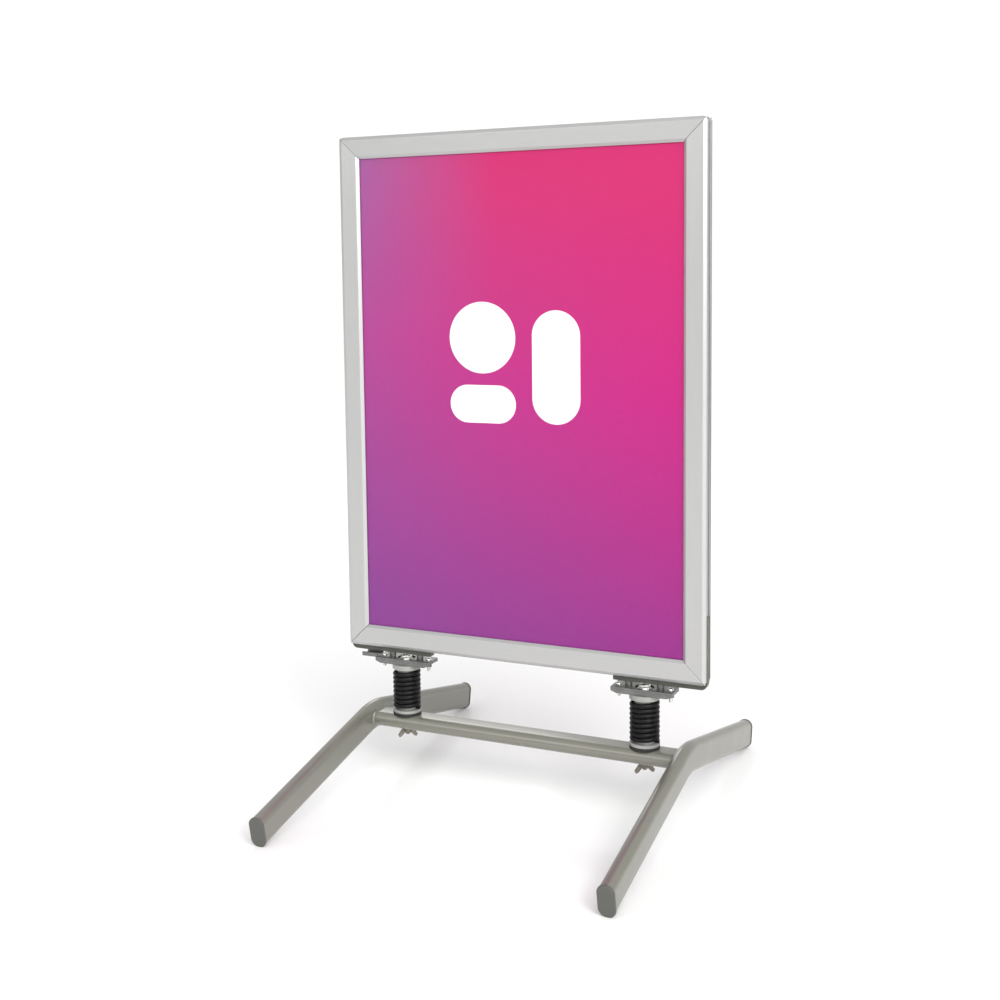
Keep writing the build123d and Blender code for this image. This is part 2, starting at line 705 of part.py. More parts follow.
# ---- Leaf springs that hold the covers shut or open --------------------------------
leaf_start_u = neck_web_u + neck_web + leaf_start_gap
leaf_end_u = hidden_edge - clear_sheet_margin - leaf_end_gap
leaf_base_v = flange_v + leaf_thickness / 2
for name, facing in (("front", -1), ("rear", 1)):
    with BuildPart() as leaves:
        for side in sides:
            count = leaves_per_long_side if side in ("left", "right") else leaves_per_short_side
            section = side_plane(side, facing)
            for place in side_positions(side, count):
                with BuildSketch(section.offset(place)):
                    with BuildLine():
                        foot_end = leaf_start_u + leaf_foot
                        Line((leaf_start_u, leaf_base_v), (foot_end, leaf_base_v))
                        ThreePointArc(
                            (foot_end, leaf_base_v),
                            ((foot_end + leaf_end_u) / 2, flange_v + leaf_rise),
                            (leaf_end_u, leaf_base_v),
                        )
                    trace(line_width=leaf_thickness)
                extrude(amount=leaf_width / 2, both=True)
    write(leaves, f"snap_springs_{name}")
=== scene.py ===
"""Finished looks of a sprung pavement sign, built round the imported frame."""

import json
from math import cos, pi, radians, sin, tan

import bpy
from mathutils import Matrix, Vector

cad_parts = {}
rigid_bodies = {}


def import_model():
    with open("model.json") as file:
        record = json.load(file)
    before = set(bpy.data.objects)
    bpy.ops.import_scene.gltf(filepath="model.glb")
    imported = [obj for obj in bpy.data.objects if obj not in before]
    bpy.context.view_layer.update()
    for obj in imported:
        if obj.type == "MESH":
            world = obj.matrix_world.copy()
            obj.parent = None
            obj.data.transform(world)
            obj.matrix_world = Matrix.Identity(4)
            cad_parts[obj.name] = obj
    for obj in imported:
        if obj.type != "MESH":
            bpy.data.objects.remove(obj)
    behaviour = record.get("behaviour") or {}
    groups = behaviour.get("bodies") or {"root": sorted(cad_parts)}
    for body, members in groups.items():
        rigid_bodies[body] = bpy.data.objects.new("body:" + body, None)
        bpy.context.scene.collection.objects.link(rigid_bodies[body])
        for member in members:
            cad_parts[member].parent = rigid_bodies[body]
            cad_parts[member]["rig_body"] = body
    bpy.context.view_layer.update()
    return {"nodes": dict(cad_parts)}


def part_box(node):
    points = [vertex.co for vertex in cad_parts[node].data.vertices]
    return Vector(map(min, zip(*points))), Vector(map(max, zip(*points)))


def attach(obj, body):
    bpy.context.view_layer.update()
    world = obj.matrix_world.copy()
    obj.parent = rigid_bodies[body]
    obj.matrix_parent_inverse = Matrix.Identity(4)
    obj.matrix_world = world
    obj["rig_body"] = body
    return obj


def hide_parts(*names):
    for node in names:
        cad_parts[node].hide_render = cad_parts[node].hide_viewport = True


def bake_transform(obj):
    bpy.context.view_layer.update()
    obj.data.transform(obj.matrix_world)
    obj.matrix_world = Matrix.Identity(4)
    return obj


bl_info = {
    "name": "Sprung pavement sign",
    "version": (1, 0, 0),
    "blender": (4, 5, 0),
    "location": "3D View > Sidebar > Sign",
    "description": "Builds the finished pieces of a spring-mounted poster sign",
    "category": "Object",
}

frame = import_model()

SIDES = ("bottom", "top", "left", "right")
FACES = ("front", "rear")
HANDS = ("left", "right")

MERGE_DISTANCE = 1e-6
FLAT_ANGLE = radians(0.4)
SMOOTH_ANGLE = radians(38)
FULL_TURN = 2 * pi

# Colours that no setting changes.
FLAKE_COLOUR = (0.62, 0.62, 0.60)
LEAF_STEEL_COLOUR = (0.55, 0.56, 0.58)
SHAPE_COLOUR = (0.93, 0.93, 0.93)
CLEAR_COLOUR = (0.995, 1.0, 1.0)

# Plain shapes on the print: right and up from its middle, half width, half height, corner.
PRINT_SHAPES = (
    (-0.060, 0.104, 0.060, 0.060, 0.060),
    (0.072, 0.056, 0.042, 0.094, 0.042),
    (-0.060, -0.008, 0.060, 0.032, 0.032),
)
EDGE_BLUR = 0.0004

# Bolts, as shares of the size that each comment names.
ROUND_SIDES = 40
HEX_SIDES = 6
HEX_CHAMFER = radians(30)
HEX_CROWN = 0.95                 # circle on top of a hex head, of its width across flats
DOME_BEVEL = 0.8                 # of a button head's height
SOCKET_DEPTH = 0.6               # of a button head's height
THREAD_DEPTH = 0.61              # of the pitch
THREAD_SINK = 1.1                # from crest to foot, of the thread's depth
THREAD_FOOT = 0.46               # half the width of the thread's foot, of the pitch
THREAD_START = 0.6               # above the bolt's end, of the pitch
THREAD_STEPS = 24
TIP_BEVEL = 0.8                  # of the thread's depth

# Springs, welds and castings.
WIRE_SIDES = 20
COIL_STEPS = 48
GROUND_SHARE = 0.5               # of the wire's radius, ground off each end
RIPPLE_SLANT = 0.5               # how far a ripple leads along the tube, of its width
NUT_SMOOTHING = 6

# Lamps: where each hangs, and what it is turned to.
KEY_SPREAD = 70.0                # degrees
KEY_PLACE = (1.9, -2.2, 2.6)
KEY_AIM = (0, 0, 0.4)
# Softboxes: name of the setting, width, place, aim.
SOFTBOXES = (
    ("side", 1.1, (2.4, -2.4, 2.2), (0, 0, 0.4)),
    ("front", 2.0, (-1.9, -4.6, 2.9), (0, 0, 1.1)),
    ("rim", 1.0, (-1.75, 3.3, 2.0), (0, 0, 0.1)),
)
SENSOR_WIDTH = 36.0
FARTHEST_SEEN = 100.0


class Bolt:
    """Sizes of one kind of bolt, in metres."""

    def __init__(self, diameter, pitch, thread_length, head_height):
        self.diameter = diameter
        self.pitch = pitch
        self.thread_length = thread_length
        self.head_height = head_height


BASE_BOLT = Bolt(0.008, 0.00125, 0.028, 0.0053)
TOP_BOLT = Bolt(0.010, 0.0015, 0.026, 0.0064)
CLAMP_BOLT = Bolt(0.006, 0.001, 0.012, 0.0033)
CLAMP_HEAD = 0.0105
CLAMP_SOCKET = 0.004
CLAMP_SPACING = 0.088


# ---- Settings ----------------------------------------------------------------------
def colour(name, text, value):
    """A colour property in scene-linear values."""
    return bpy.props.FloatVectorProperty(
        name=name, description=text, subtype="COLOR", size=3, min=0, max=1, default=value
    )


def length(name, text, value):
    """A length property in metres."""
    return bpy.props.FloatProperty(
        name=name, description=text, unit="LENGTH", subtype="DISTANCE", min=0, default=value
    )


def share(name, text, value):
    """A property from 0 to 1."""
    return bpy.props.FloatProperty(
        name=name, description=text, subtype="FACTOR", min=0, max=1, default=value
    )


def strength(name, text, value):
    """How strongly something shines, from 0 up."""
    return bpy.props.FloatProperty(name=name, description=text, min=0, default=value)


def power(name, text, value):
    """A lamp's power in watts."""
    return bpy.props.FloatProperty(name=name, description=text, unit="POWER", default=value)


class SignFinishSettings(bpy.types.PropertyGroup):
    """Colours and gloss of the sign's parts."""

    coat: colour("Base coat", "Powder coat of the tubes", (0.170, 0.166, 0.134))
    cap: colour("End caps", "Moulded plastic of the end caps", (0.085, 0.087, 0.077))
    rubber: colour("Rubber", "Rings under the springs", (0.012, 0.012, 0.012))
    spring: colour("Springs", "Coating of the coil springs", (0.005, 0.005, 0.005))
    plug: colour("Plugs", "Machined plugs of the springs", (0.31, 0.315, 0.30))
    shoe: colour("Corner shoes", "Paint of the corner shoes", (0.060, 0.062, 0.050))
    bracket: colour("Brackets", "Zinc on the brackets", (0.19, 0.19, 0.185))
    wing_nut: colour("Wing nuts", "Dull zinc under the base", (0.20, 0.19, 0.155))
    fastener: colour("Fasteners", "Bright zinc on bolts and screws", (0.86, 0.86, 0.82))
    anodised: colour("Frame", "Anodised snap frame", (0.50, 0.50, 0.495))
    mill: colour("Keys", "Bare metal inside the frame", (0.52, 0.52, 0.53))
    panel: colour("Panels", "Sheets behind the posters", (0.80, 0.80, 0.79))
    low_left: colour("Print, low left", "Poster colour", (0.207, 0.044, 0.226))
    low_right: colour("Print, low right", "Poster colour", (0.255, 0.022, 0.193))
    mid_left: colour("Print, middle left", "Poster colour", (0.339, 0.049, 0.227))
    mid_right: colour("Print, middle right", "Poster colour", (0.450, 0.012, 0.173))
    top_left: colour("Print, top left", "Poster colour", (0.287, 0.087, 0.261))
    top_right: colour("Print, top right", "Poster colour", (0.500, 0.021, 0.128))
    coat_roughness: share("Coat roughness", "Roughness of the powder coat", 0.3)
    frame_roughness: share("Frame roughness", "Roughness of the anodised frame", 0.36)


class SignShapeSettings(bpy.types.PropertyGroup):
    """Small sizes that only the finished pieces have."""

    cover_edge: length("Cover edges", "Radius on the snap covers' edges", 0.0004)
    plate_edge: length("Plate edges", "Radius on plates and washers", 0.0004)
    shoe_edge: length("Shoe edges", "Radius on the corner shoes", 0.0008)
    wire: length("Spring wire", "Diameter of the springs' wire", 0.008)
    coil_pitch: length("Coil pitch", "Rise of the springs in one turn", 0.0081)
    cast_grain: length("Casting mesh", "Cell of the cast and welded pieces", 0.0004)
    ripple: length("Weld ripple", "Height of the ripples on the welds", 0.00022)
    ripple_pitch: length("Ripple pitch", "From one weld ripple to the next", 0.0026)


class SignStageSettings(bpy.types.PropertyGroup):
    """Floor, lights and camera."""

    floor_size: length("Floor", "Width of the floor", 60.0)
    floor: colour("Floor colour", "Plain pale floor", (0.95, 0.95, 0.95))
    floor_mirror: share("Floor mirror", "Share of the floor's mirror image", 0.12)
    sky: strength("Surround", "Light from all round", 0.75)
    backdrop: strength("Backdrop", "Brightness of the plain background", 1.05)
    key: strength("Key light", "Strength of the wide front light", 2.0)
    side: power("Side light", "Power of the side softbox", 40)
    front: power("Front light", "Power of the front softbox", 25)
    rim: power("Rim light", "Power of the softbox behind", 9)
    eye: bpy.props.FloatVectorProperty(
        name="Camera",
        description="Place of the camera",
        subtype="TRANSLATION",
        default=(0.9321785, -2.2166477, 0.9259052),
    )
    aim: bpy.props.FloatVectorProperty(
        name="Aim",
        description="Turn, dip and roll of the camera",
        subtype="EULER",
        default=(0.4766, 0.1043, -0.0186),
    )
    focal: bpy.props.FloatProperty(
        name="Focal length", description="In millimetres on a 36 mm sensor", default=51.874
    )
    shift: bpy.props.FloatVectorProperty(
        name="Shift", description="Shift of the lens", size=2, default=(0.09484, -0.09532)
    )


# ---- Modelling helpers -------------------------------------------------------------
def pick(piece):
    """Make the piece the only one selected."""
    bpy.ops.object.select_all(action="DESELECT")
    piece.select_set(True)
    bpy.context.view_layer.objects.active = piece


def new_piece(name):
    """The primitive just added, named and alone selected."""
    piece = bpy.context.object
    piece.name = name
    piece.data.name = name
    pick(piece)
    return piece


def edit(piece):
    """Open the piece in edit mode with everything selected."""
    pick(piece)
    bpy.ops.object.mode_set(mode="EDIT")
    bpy.ops.mesh.select_all(action="SELECT")


def close_edit():
    """Leave edit mode."""
    bpy.ops.object.mode_set(mode="OBJECT")


def apply_modifier(piece, kind, **values):
    """Add a modifier with these values and apply it."""
    modifier = piece.modifiers.new(kind.title(), kind)
    for key, value in values.items():
        setattr(modifier, key, value)
    pick(piece)
    bpy.ops.object.modifier_apply(modifier=modifier.name)


def settle(piece):
    """Put the piece's place, turn and size into its mesh."""
    pick(piece)
    bpy.ops.object.transform_apply(location=True, rotation=True, scale=True)


def smooth(piece):
    """Smooth shading with creases kept."""
    pick(piece)
    bpy.ops.object.shade_smooth_by_angle(angle=SMOOTH_ANGLE)


def soften(piece, radius, segments=2, angle=30.0):
    """Round the sharp edges and shade the flats flat."""
    apply_modifier(
        piece,
        "BEVEL",
        width=radius,
        segments=segments,
        limit_method="ANGLE",
        angle_limit=radians(angle),
        use_clamp_overlap=False,
    )
    smooth(piece)
    apply_modifier(piece, "WEIGHTED_NORMAL", keep_sharp=True, weight=80)


def merged_copy(node):
    """A copy of a frame node with its loose triangles merged and its flats joined."""
    piece = bpy.data.objects.new(node + "_finished", frame["nodes"][node].data.copy())
    bpy.context.scene.collection.objects.link(piece)
    piece.data.materials.clear()
    edit(piece)
    bpy.ops.mesh.remove_doubles(threshold=MERGE_DISTANCE)
    bpy.ops.mesh.dissolve_limited(angle_limit=FLAT_ANGLE)
    close_edit()
    bpy.ops.mesh.customdata_custom_splitnormals_clear()
    return piece


def joined(name, pieces):
    """Several pieces joined into one."""
    pick(pieces[0])
    for piece in pieces[1:]:
        piece.select_set(True)
    bpy.ops.object.join()
    return new_piece(name)


def cut_with(piece, cutter, operation):
    """Apply a boolean with the cutter and remove the cutter."""
    apply_modifier(piece, "BOOLEAN", operation=operation, solver="EXACT", object=cutter)
    bpy.data.objects.remove(cutter)


def body_of_node(node):
    """The body that a frame node moves with."""
    return frame["nodes"][node]["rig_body"]


def hand_over(piece, finish, slot, *nodes):
    """Give the piece its material and its body, and hide the nodes it stands for; the slot is not
    used.
    """
    piece.data.materials.clear()
    piece.data.materials.append(finish)
    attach(piece, body_of_node(nodes[0]))
    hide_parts(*nodes)


def paint_node(node, finish):
    """Keep a frame node's shape and give it a material."""
    materials = frame["nodes"][node].data.materials
    materials.clear()
    materials.append(finish)


def middle_of(node):
    """The middle of a frame node's box."""
    low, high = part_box(node)
    return (low + high) / 2


# ---- Materials ---------------------------------------------------------------------
class Finish:
    """A material that is built node by node from a piece's own coordinates."""

    def __init__(self, name, base, **values):
        self.material = bpy.data.materials.new(name)
        self.material.use_nodes = True
        tree = self.material.node_tree
        self.nodes, self.links = tree.nodes, tree.links
        self.shader = self.nodes["Principled BSDF"]
        self.base = tuple(base)
        self.shader.inputs["Base Color"].default_value = (*self.base, 1)
        for socket, value in values.items():
            label = socket.replace("_", " ").title().replace("Ior", "IOR")
            self.shader.inputs[label].default_value = value
        self.place = self.nodes.new("ShaderNodeTexCoord").outputs["Object"]

    def link(self, output, socket):
        """Join an output to a socket."""
        self.links.new(output, socket)

    def stretched(self, scale):
        """The piece's coordinates, stretched along the axes."""
        mapping = self.nodes.new("ShaderNodeMapping")
        mapping.inputs["Scale"].default_value = scale
        self.link(self.place, mapping.inputs["Vector"])
        return mapping.outputs["Vector"]

    def noise(self, scale, detail=3.0, stretch=(1, 1, 1)):
        """Cloudy values from 0 to 1, mostly near the middle."""
        node = self.nodes.new("ShaderNodeTexNoise")
        node.inputs["Scale"].default_value = scale
        node.inputs["Detail"].default_value = detail
        node.inputs["Roughness"].default_value = 0.55
        self.link(self.stretched(stretch), node.inputs["Vector"])
        return node.outputs["Fac"]

    def cells(self, scale):
        """Small patches, each with a value of its own."""
        node = self.nodes.new("ShaderNodeTexVoronoi")
        node.inputs["Scale"].default_value = scale
        self.link(self.place, node.inputs["Vector"])
        return node.outputs["Color"]

    def math(self, operation, first, second=0.0, third=0.0):
        """A sum on numbers and outputs."""
        node = self.nodes.new("ShaderNodeMath")
        node.operation = operation
        for socket, value in zip(node.inputs, (first, second, third)):
            if isinstance(value, (int, float)):
                socket.default_value = value
            else:
                self.link(value, socket)
        return node.outputs[0]

    def spread(self, value, low, high, start=0.3, end=0.7):
        """The value between start and end, spread from low to high."""
        node = self.nodes.new("ShaderNodeMapRange")
        for socket, number in zip(
            ("From Min", "From Max", "To Min", "To Max"), (start, end, low, high)
        ):
            node.inputs[socket].default_value = number
        self.link(value, node.inputs["Value"])
        return node.outputs["Result"]

    def ramp(self, value, *stops):
        """A colour ramp of (place, colour) stops."""
        node = self.nodes.new("ShaderNodeValToRGB")
        elements = node.color_ramp.elements
        while len(elements) < len(stops):
            elements.new(0.5)
        for element, (place, tint) in zip(elements, stops):
            element.position = place
            element.color = (*tint, 1)
        self.link(value, node.inputs["Fac"])
        return node.outputs["Color"]

    def blend(self, factor, first, second):
        """Two colours mixed, all first at 0 and all second at 1."""
        node = self.nodes.new("ShaderNodeMix")
        node.data_type = "RGBA"
        sockets = [s for s in node.inputs if s.enabled]
        for socket, value in zip(sockets, (factor, first, second)):
            if isinstance(value, (int, float)):
                socket.default_value = value
            elif isinstance(value, tuple):
                socket.default_value = (*value, 1)
            else:
                self.link(value, socket)
        return [s for s in node.outputs if s.enabled][0]

    def relief(self, height, distance, share_kept=1.0, under=None):
        """Fine relief of the surface, on top of another where one is given."""
        node = self.nodes.new("ShaderNodeBump")
        node.inputs["Distance"].default_value = distance
        node.inputs["Strength"].default_value = share_kept
        self.link(height, node.inputs["Height"])
        if under is not None:
            self.link(under, node.inputs["Normal"])
        return node.outputs["Normal"]

    def shade(self, factor):
        """The base colour made darker and lighter, as (dark, light)."""
        dark = tuple(c * (1 - factor) for c in self.base)
        light = tuple(min(1.0, c * (1 + factor)) for c in self.base)
        return dark, light

    def tint(self, output):
        """Colour the surface by an output."""
        self.link(output, self.shader.inputs["Base Color"])

    def rough(self, output):
        """Roughen the surface by an output."""
        self.link(output, self.shader.inputs["Roughness"])

    def bumpy(self, output):
        """Turn the surface's normals by an output."""
        self.link(output, self.shader.inputs["Normal"])


def uneven(finish, patch, grain, variation, roughness, spread, bump):
    """Give a finish uneven gloss and a fine grain, and hand back its cloudy colour."""
    finish.rough(finish.spread(finish.noise(patch * 1.7, 3.0), roughness - spread, roughness + spread))
    finish.bumpy(finish.relief(finish.noise(grain, 2.0), bump))
    dark, light = finish.shade(variation)
    return finish.ramp(finish.noise(patch, 4.0), (0.3, dark), (0.7, light))


def powder_coat(settings):
    """Grey metallic powder coat with the fine ripple such a coat has."""
    finish = Finish(
        "powder_coat", settings.coat, metallic=0.4, coat_weight=0.3, coat_roughness=0.16
    )
    cloudy = uneven(
        finish, patch=9.0, grain=420.0, variation=0.06,
        roughness=settings.coat_roughness, spread=0.03, bump=0.00006,
    )
    flake = finish.noise(5200.0, 1.0)
    finish.tint(finish.blend(finish.spread(flake, 0.0, 0.16), cloudy, FLAKE_COLOUR))
    return finish.material


def drawn_metal(name, base, roughness, along):
    """Anodised extrusion: fine lines that run along the profile."""
    across_lines, along_lines = 260.0, 2.2
    stretch = tuple(along_lines if axis == along else across_lines for axis in "XYZ")
    finish = Finish(name, base, metallic=0.82, specular_tint=(1, 1, 1, 1))
    lines = finish.noise(6.0, 4.0, stretch)
    grain = finish.noise(3200.0, 2.0)
    cloud = finish.noise(5.0, 3.0)
    dark, light = finish.shade(0.035)
    finish.tint(finish.blend(finish.spread(lines, 0.0, 1.0), dark, light))
    gloss = finish.math("ADD", finish.spread(lines, -0.03, 0.03), finish.spread(cloud, -0.02, 0.02))
    finish.rough(finish.math("ADD", gloss, roughness))
    under = finish.relief(lines, 0.00002, 0.5)
    finish.bumpy(finish.relief(grain, 0.000012, 0.6, under))
    return finish.material


def zinc(name, base, roughness, metallic=0.85):
    """Zinc plate: small cloudy patches of differing gloss."""
    finish = Finish(name, base, metallic=metallic)
    patches = finish.cells(260.0)
    cloud = finish.noise(60.0, 5.0)
    dark, light = finish.shade(0.16)
    finish.tint(finish.ramp(cloud, (0.25, dark), (0.75, light)))
    finish.rough(finish.spread(patches, roughness - 0.07, roughness + 0.07, 0.0, 1.0))
    finish.bumpy(finish.relief(finish.noise(1500.0, 3.0), 0.00003))
    return finish.material


def turned_alloy(name, base):
    """Machined alloy: fine rings from the turning tool, and a soft gloss."""
    finish = Finish(name, base, metallic=0.25)
    rings = finish.noise(10.0, 2.0, (4, 4, 420))
    dark, light = finish.shade(0.05)
    finish.tint(finish.ramp(finish.noise(40.0, 3.0), (0.3, dark), (0.7, light)))
    finish.rough(finish.spread(rings, 0.32, 0.5))
    finish.bumpy(finish.relief(rings, 0.00004))
    return finish.material


def coated_wire(settings):
    """Black coating on spring wire, worn a little greyer here and there."""
    finish = Finish("spring_coat", settings.spring, specular_ior_level=0.16)
    wear = finish.noise(240.0, 5.0)
    dust = tuple(c + 0.012 for c in settings.spring)
    finish.tint(finish.ramp(wear, (0.45, tuple(settings.spring)), (0.8, dust)))
    finish.rough(finish.spread(wear, 0.24, 0.42))
    finish.bumpy(finish.relief(finish.noise(900.0, 3.0), 0.00004))
    return finish.material


def rubber(settings):
    """Black rubber with a matt skin."""
    finish = Finish("rubber", settings.rubber)
    finish.tint(uneven(
        finish, patch=120.0, grain=1400.0, variation=0.3, roughness=0.62, spread=0.08, bump=0.00004
    ))
    return finish.material


def moulded(name, base):
    """Moulded plastic with a fine spark-eroded grain."""
    finish = Finish(name, base, specular_ior_level=0.45)
    grain = finish.cells(1400.0)
    cloud = finish.noise(30.0, 3.0)
    dark, light = finish.shade(0.05)
    finish.tint(finish.ramp(cloud, (0.3, dark), (0.7, light)))
    finish.rough(finish.spread(cloud, 0.42, 0.54))
    finish.bumpy(finish.relief(grain, 0.00004))
    return finish.material


def shoe_paint(settings):
    """Dark paint, rubbed a little lighter in patches."""
    finish = Finish(
        "shoe_paint", settings.shoe, metallic=0.2, coat_weight=0.15, coat_roughness=0.3
    )
    finish.tint(uneven(
        finish, patch=70.0, grain=700.0, variation=0.18, roughness=0.42, spread=0.08, bump=0.00005
    ))
    return finish.material


def panel_sheet(settings):
    """White sheet with a faint matt texture."""
    finish = Finish("panel_sheet", settings.panel)
    finish.tint(uneven(
        finish, patch=14.0, grain=900.0, variation=0.015, roughness=0.55, spread=0.05, bump=0.00003
    ))
    return finish.material


def printed_sheet(settings, low, high):
    """Printed sheet: a gradient with plain white shapes, which reads the same from each side."""
    finish = Finish("poster_print", settings.mid_right, specular_ior_level=0.12)
    split = finish.nodes.new("ShaderNodeSeparateXYZ")
    finish.link(finish.place, split.inputs["Vector"])
    facing = finish.math("SIGN", finish.math("MULTIPLY", split.outputs["Y"], -1.0))
    x, z = finish.math("MULTIPLY", split.outputs["X"], facing), split.outputs["Z"]
    across = finish.spread(x, 0.0, 1.0, low.x, high.x)
    up = finish.spread(z, 0.0, 1.0, low.z, high.z)
    gradient = print_gradient(finish, settings, across, up)

    centre = (low + high) / 2
    shapes = None
    for right_by, up_by, half_width, half_height, corner in PRINT_SHAPES:
        mask = rounded_shape(
            finish, x, z, centre.x + right_by, centre.z + up_by, half_width, half_height, corner
        )
        shapes = mask if shapes is None else finish.math("MAXIMUM", shapes, mask)
    finish.tint(finish.blend(shapes, gradient, SHAPE_COLOUR))
    finish.rough(finish.spread(finish.noise(35.0, 3.0), 0.36, 0.46))
    finish.bumpy(finish.relief(finish.noise(1800.0, 2.0), 0.000015))
    return finish.material


def print_gradient(finish, settings, across, up):
    """Colours that change up both sides of the print and across it, sooner near its top."""
    left = finish.ramp(
        up,
        (0.05, tuple(settings.low_left)),
        (0.62, tuple(settings.mid_left)),
        (0.98, tuple(settings.top_left)),
    )
    right = finish.ramp(
        up,
        (0.02, tuple(settings.low_right)),
        (0.5, tuple(settings.mid_right)),
        (0.9, tuple(settings.top_right)),
    )
    early = finish.spread(across, 0.0, 1.0, 0.0, 0.44)
    near_top = finish.math("POWER", up, 1.5)
    pull = finish.math("SUBTRACT", early, across)
    return finish.blend(finish.math("MULTIPLY_ADD", near_top, pull, across), left, right)


def rounded_shape(finish, x, z, centre_x, centre_z, half_width, half_height, corner):
    """1 inside a rectangle with rounded corners, 0 outside."""
    sides = []
    for value, centre, half in ((x, centre_x, half_width), (z, centre_z, half_height)):
        away = finish.math("ABSOLUTE", finish.math("SUBTRACT", value, centre))
        sides.append(finish.math("MAXIMUM", finish.math("SUBTRACT", away, half - corner), 0.0))
    squares = [finish.math("MULTIPLY", side, side) for side in sides]
    reach = finish.math("SQRT", finish.math("ADD", *squares))
    return finish.spread(reach, 1.0, 0.0, corner - EDGE_BLUR, corner + EDGE_BLUR)


def two_shaders(name, first_kind, second_kind):
    """A material that mixes two shaders, with the nodes of both and of the mix."""
    material = bpy.data.materials.new(name)
    material.use_nodes = True
    nodes, links = material.node_tree.nodes, material.node_tree.links
    nodes.clear()
    output = nodes.new("ShaderNodeOutputMaterial")
    mix = nodes.new("ShaderNodeMixShader")
    first, second = nodes.new(first_kind), nodes.new(second_kind)
    links.new(first.outputs["BSDF"], mix.inputs[1])
    links.new(second.outputs["BSDF"], mix.inputs[2])
    links.new(mix.outputs["Shader"], output.inputs["Surface"])
    return material, first, second, mix


def clear_sheet():
    """Clear sheet: see-through, with a gloss that grows at a glance."""
    material, through, gloss, mix = two_shaders(
        "clear_sheet", "ShaderNodeBsdfTransparent", "ShaderNodeBsdfGlossy"
    )
    through.inputs["Color"].default_value = (*CLEAR_COLOUR, 1)
    gloss.inputs["Roughness"].default_value = 0.12
    nodes, links = material.node_tree.nodes, material.node_tree.links
    tilt = nodes.new("ShaderNodeLayerWeight")
    grazing = nodes.new("ShaderNodeMath")
    grazing.operation = "POWER"
    grazing.inputs[1].default_value = 5.0
    mirror = nodes.new("ShaderNodeMapRange")
    mirror.inputs["To Min"].default_value = 0.012
    mirror.inputs["To Max"].default_value = 0.9
    links.new(tilt.outputs["Facing"], grazing.inputs[0])
    links.new(grazing.outputs["Value"], mirror.inputs["Value"])
    links.new(mirror.outputs["Result"], mix.inputs["Fac"])
    place = nodes.new("ShaderNodeTexCoord")
    wave = nodes.new("ShaderNodeTexNoise")
    wave.inputs["Scale"].default_value = 7.0
    bump = nodes.new("ShaderNodeBump")
    bump.inputs["Distance"].default_value = 0.0004
    bump.inputs["Strength"].default_value = 0.25
    links.new(place.outputs["Object"], wave.inputs["Vector"])
    links.new(wave.outputs["Fac"], bump.inputs["Height"])
    links.new(bump.outputs["Normal"], gloss.inputs["Normal"])
    return material


def polished_floor(settings):
    """Pale floor with a faint even mirror image."""
    material, matt, gloss, mix = two_shaders(
        "floor", "ShaderNodeBsdfDiffuse", "ShaderNodeBsdfGlossy"
    )
    matt.inputs["Color"].default_value = (*settings.floor, 1)
    gloss.inputs["Roughness"].default_value = 0.1
    mix.inputs["Fac"].default_value = settings.floor_mirror
    return material


# ---- Bolts -------------------------------------------------------------------------
def cylinder(name, place, radius, bottom, top, sides=ROUND_SIDES):
    """An upright cylinder or prism."""
    bpy.ops.mesh.primitive_cylinder_add(
        vertices=sides,
        radius=radius,
        depth=top - bottom,
        location=(place.x, place.y, (bottom + top) / 2),
    )
    return new_piece(name)


def hex_head(place, flats, bottom, top):
    """Hex head with its corners turned off."""
    head = cylinder("hex_head", place, flats / 2 / cos(pi / 6), bottom, top, HEX_SIDES)
    crown = flats / 2 * HEX_CROWN
    height = top - bottom
    bpy.ops.mesh.primitive_cone_add(
        vertices=ROUND_SIDES,
        radius1=crown + height / tan(HEX_CHAMFER),
        radius2=crown,
        depth=height,
        location=(place.x, place.y, (bottom + top) / 2),
    )
    cut_with(head, new_piece("turning"), "INTERSECT")
    return head


def button_head(place, diameter, socket, bottom, top):
    """Domed head with a hex socket."""
    height = top - bottom
    head = cylinder("button_head", place, diameter / 2, bottom, top)
    edit(head)
    bpy.ops.mesh.select_all(action="DESELECT")
    close_edit()
    for edge in head.data.edges:
        ends = [head.data.vertices[v].co for v in edge.vertices]
        edge.select = all(end.z > 0 for end in ends)
    bpy.ops.object.mode_set(mode="EDIT")
    bpy.ops.mesh.select_mode(type="EDGE")
    bpy.ops.mesh.bevel(offset=height * DOME_BEVEL, segments=6, profile=0.5)
    close_edit()
    socket_bottom = top - height * SOCKET_DEPTH
    corner_radius = socket / 2 / cos(pi / 6)
    cutter = cylinder("socket", place, corner_radius, socket_bottom, top + height, HEX_SIDES)
    cut_with(head, cutter, "DIFFERENCE")
    return head


